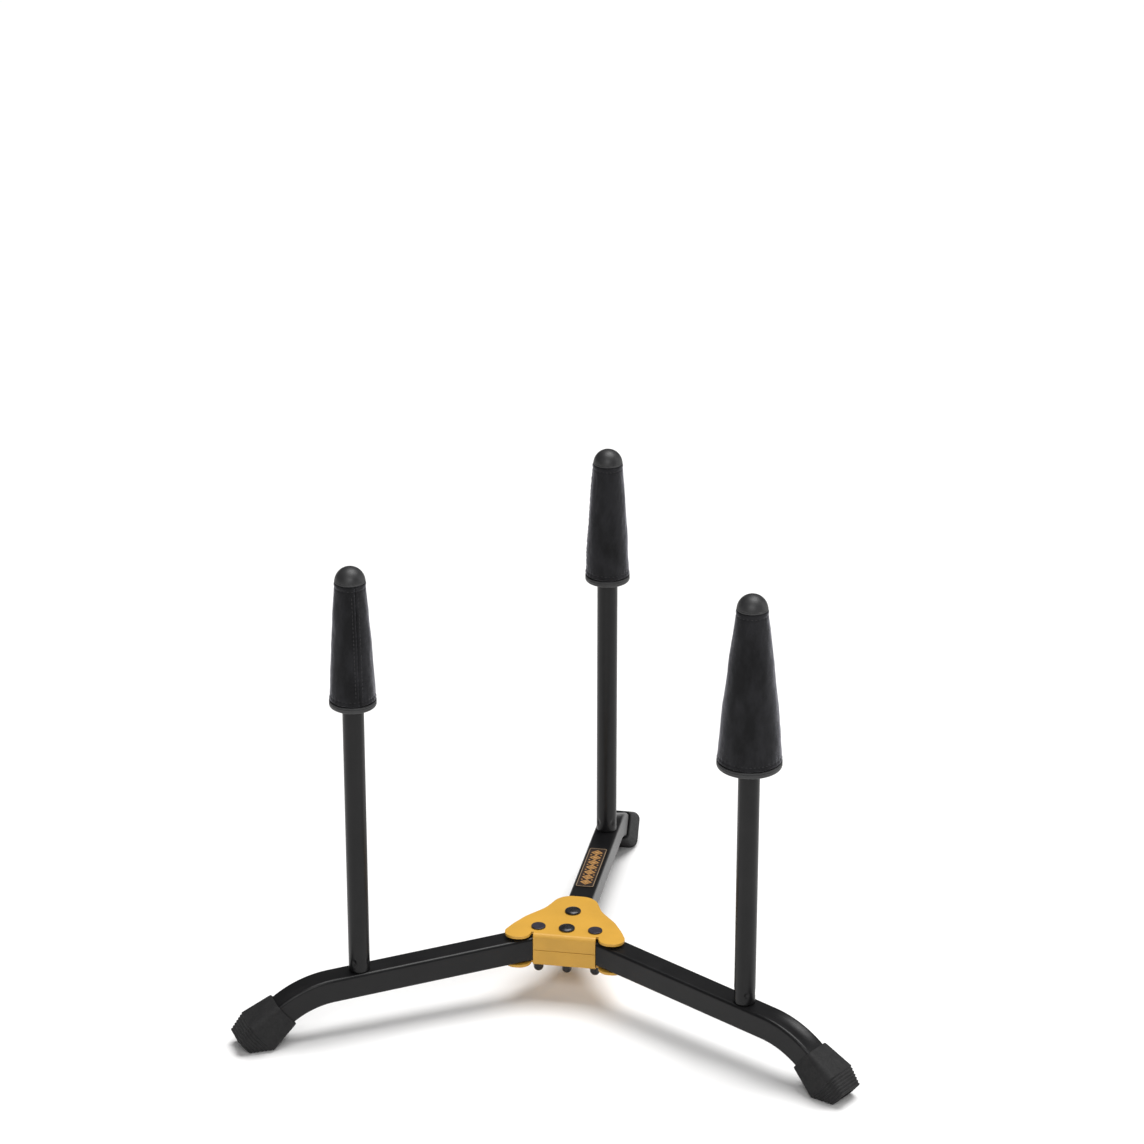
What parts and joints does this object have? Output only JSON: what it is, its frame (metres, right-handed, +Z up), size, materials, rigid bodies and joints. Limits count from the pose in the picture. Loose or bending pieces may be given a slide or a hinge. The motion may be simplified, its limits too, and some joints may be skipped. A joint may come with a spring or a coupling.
{
  "type": "trumpet stand",
  "caption": "Low folding tripod stand: bent square-tube legs on a pressed hub, rubber feet, and screw-on upright posts with velvet pegs that hold brass instruments by the bell.",
  "frame": {"origin": "on the floor, in the middle of the stand's length and width, 61.6 mm behind the point where the three legs' centre lines meet", "axes": "+Z up, +Y along the rear leg, +X towards the right front leg's side"},
  "size_m": [0.4748, 0.4112, 0.3798],
  "materials": {
    "yellow_paint": "orange-yellow powder coat with a low sheen",
    "black_paint": "satin black powder coat",
    "blackened_steel": "black oxide, semi-gloss",
    "zinc_steel": "bright zinc plate",
    "nylon": "black nylon",
    "peg_plastic": "black moulded plastic, fine grain",
    "rubber": "matt black moulded rubber",
    "velvet": "black velvet",
    "label_foil": "dark label with a thin pale-gold border"
  },
  "bodies": {
    "hub": {"hub_top_plate": "yellow_paint", "hub_bottom_plate": "yellow_paint", "clamp_bolt_front": "blackened_steel", "clamp_bolt_rear": "blackened_steel", "pivot_bolt_left": "blackened_steel", "pivot_bolt_right": "blackened_steel", "cap_nut_front": "blackened_steel", "cap_nut_rear": "blackened_steel", "cap_nut_left": "blackened_steel", "cap_nut_right": "blackened_steel", "washer_top_front": "zinc_steel", "washer_bottom_front": "zinc_steel", "washer_top_rear": "zinc_steel", "washer_bottom_rear": "zinc_steel", "washer_top_left": "nylon", "washer_bottom_left": "nylon", "washer_top_right": "nylon", "washer_bottom_right": "nylon", "crush_sleeve_front": "zinc_steel", "crush_sleeve_rear": "zinc_steel", "crush_sleeve_left": "zinc_steel", "crush_sleeve_right": "zinc_steel", "leg_tube_rear": "black_paint", "rubber_foot_rear": "rubber", "post_stud_rear": "zinc_steel", "rear_leg_label": "label_foil"},
    "left_leg": {"leg_tube_left": "black_paint", "rubber_foot_left": "rubber", "post_stud_left": "zinc_steel"},
    "right_leg": {"leg_tube_right": "black_paint", "rubber_foot_right": "rubber", "post_stud_right": "zinc_steel"},
    "left_post": {"post_tube_left": "black_paint", "post_insert_left": "zinc_steel", "peg_core_left": "nylon", "peg_sleeve_left": "velvet", "peg_tip_left": "peg_plastic", "peg_base_ring_left": "peg_plastic"},
    "right_post": {"post_tube_right": "black_paint", "post_insert_right": "zinc_steel", "peg_core_right": "nylon", "peg_sleeve_right": "velvet", "peg_tip_right": "peg_plastic", "peg_base_ring_right": "peg_plastic"},
    "rear_post": {"post_tube_rear": "black_paint", "post_insert_rear": "zinc_steel", "peg_core_rear": "nylon", "peg_sleeve_rear": "velvet", "peg_tip_rear": "peg_plastic", "peg_base_ring_rear": "peg_plastic"}
  },
  "joints": [
    {"name": "left_leg_fold", "type": "hinge", "parent": "hub", "child": "left_leg", "pos_m": [-0.022, -0.0743, 0.04505], "axis": [0, 0, -1], "range_deg": [0, 115]},
    {"name": "right_leg_fold", "type": "hinge", "parent": "hub", "child": "right_leg", "pos_m": [0.022, -0.0743, 0.04505], "axis": [0, 0, 1], "range_deg": [0, 115]},
    {"name": "left_post_unscrew", "type": "slide", "parent": "left_leg", "child": "left_post", "axis": [0, 0, 1], "range_m": [0, 0.018]},
    {"name": "right_post_unscrew", "type": "slide", "parent": "right_leg", "child": "right_post", "axis": [0, 0, 1], "range_m": [0, 0.018]},
    {"name": "rear_post_unscrew", "type": "slide", "parent": "hub", "child": "rear_post", "axis": [0, 0, 1], "range_m": [0, 0.018]}
  ]
}
